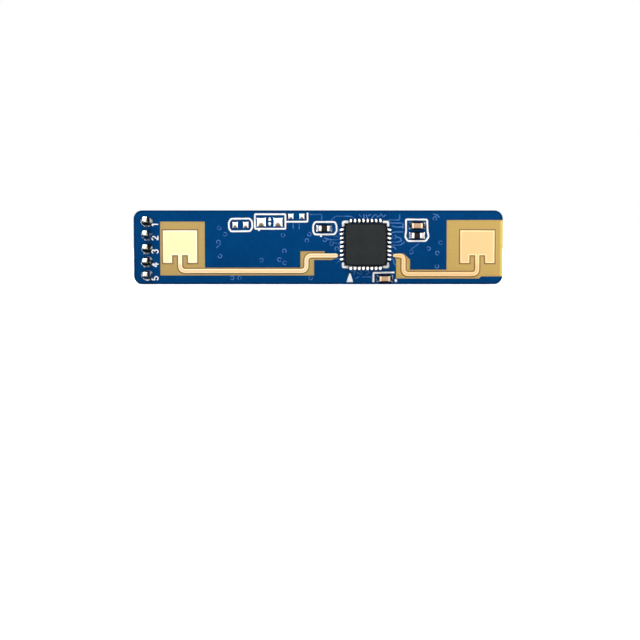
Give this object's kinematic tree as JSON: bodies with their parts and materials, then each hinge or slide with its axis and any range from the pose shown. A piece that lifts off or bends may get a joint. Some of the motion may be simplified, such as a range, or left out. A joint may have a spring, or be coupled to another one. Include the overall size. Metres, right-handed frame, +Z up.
{
  "type": "microwave radar sensor module",
  "caption": "Narrow circuit board with square patch antennas and a radar chip on one side, and a straight pin header, controller, crystal, inductor and chip parts on the other.",
  "frame": {"origin": "middle of the flat face of the lower long edge of the board, which the module stands on", "axes": "+X along the board, away from the pin header; +Y out of the header side, the way the pins point; +Z up across the board; the antennas face -Y"},
  "size_m": [0.035, 0.0076, 0.007],
  "materials": {
    "blue_board": "glossy",
    "gold_plating": "satin",
    "black_moulding": "satin",
    "solder": "glossy",
    "tinned_lead": "satin",
    "black_epoxy": "matte",
    "dark_ceramic": "matte",
    "metal_lid": "satin",
    "ferrite": "matte",
    "copper_wire": "glossy",
    "brown_resin": "satin",
    "chip_resistor": "satin",
    "tan_capacitor": "satin",
    "grey_capacitor": "satin"
  },
  "bodies": {
    "root": {"circuit_board": "blue_board", "transmit_antenna": "gold_plating", "receive_antenna": "gold_plating", "header_housing": "black_moulding", "header_pin_1": "gold_plating", "header_pin_2": "gold_plating", "header_pin_3": "gold_plating", "header_pin_4": "gold_plating", "header_pin_5": "gold_plating", "solder_joint_1": "solder", "solder_joint_2": "solder", "solder_joint_3": "solder", "solder_joint_4": "solder", "solder_joint_5": "solder", "radar_chip": "black_epoxy", "controller": "black_epoxy", "regulator_body": "black_epoxy", "regulator_lead_1": "tinned_lead", "regulator_lead_2": "tinned_lead", "regulator_lead_3": "tinned_lead", "crystal_base": "dark_ceramic", "crystal_seal_ring": "gold_plating", "crystal_lid": "metal_lid", "inductor_core": "ferrite", "inductor_winding": "copper_wire", "inductor_cap": "brown_resin", "feed_resistor": "chip_resistor", "front_resistor": "chip_resistor", "front_capacitor_1": "tan_capacitor", "front_capacitor_2": "tan_capacitor", "header_resistor": "chip_resistor", "bulk_capacitor": "grey_capacitor", "input_resistor_1": "chip_resistor", "input_resistor_2": "chip_resistor", "input_capacitor": "tan_capacitor", "controller_capacitor": "tan_capacitor", "bus_resistor_1": "chip_resistor", "bus_resistor_2": "chip_resistor", "bus_resistor_3": "chip_resistor", "bus_resistor_4": "chip_resistor", "bus_resistor_5": "chip_resistor", "filter_capacitor_1": "tan_capacitor", "filter_capacitor_2": "tan_capacitor", "filter_resistor_1": "chip_resistor", "filter_resistor_2": "chip_resistor", "filter_resistor_3": "chip_resistor", "load_capacitor_1": "grey_capacitor", "load_capacitor_2": "grey_capacitor", "output_capacitor": "grey_capacitor"}
  },
  "joints": []
}
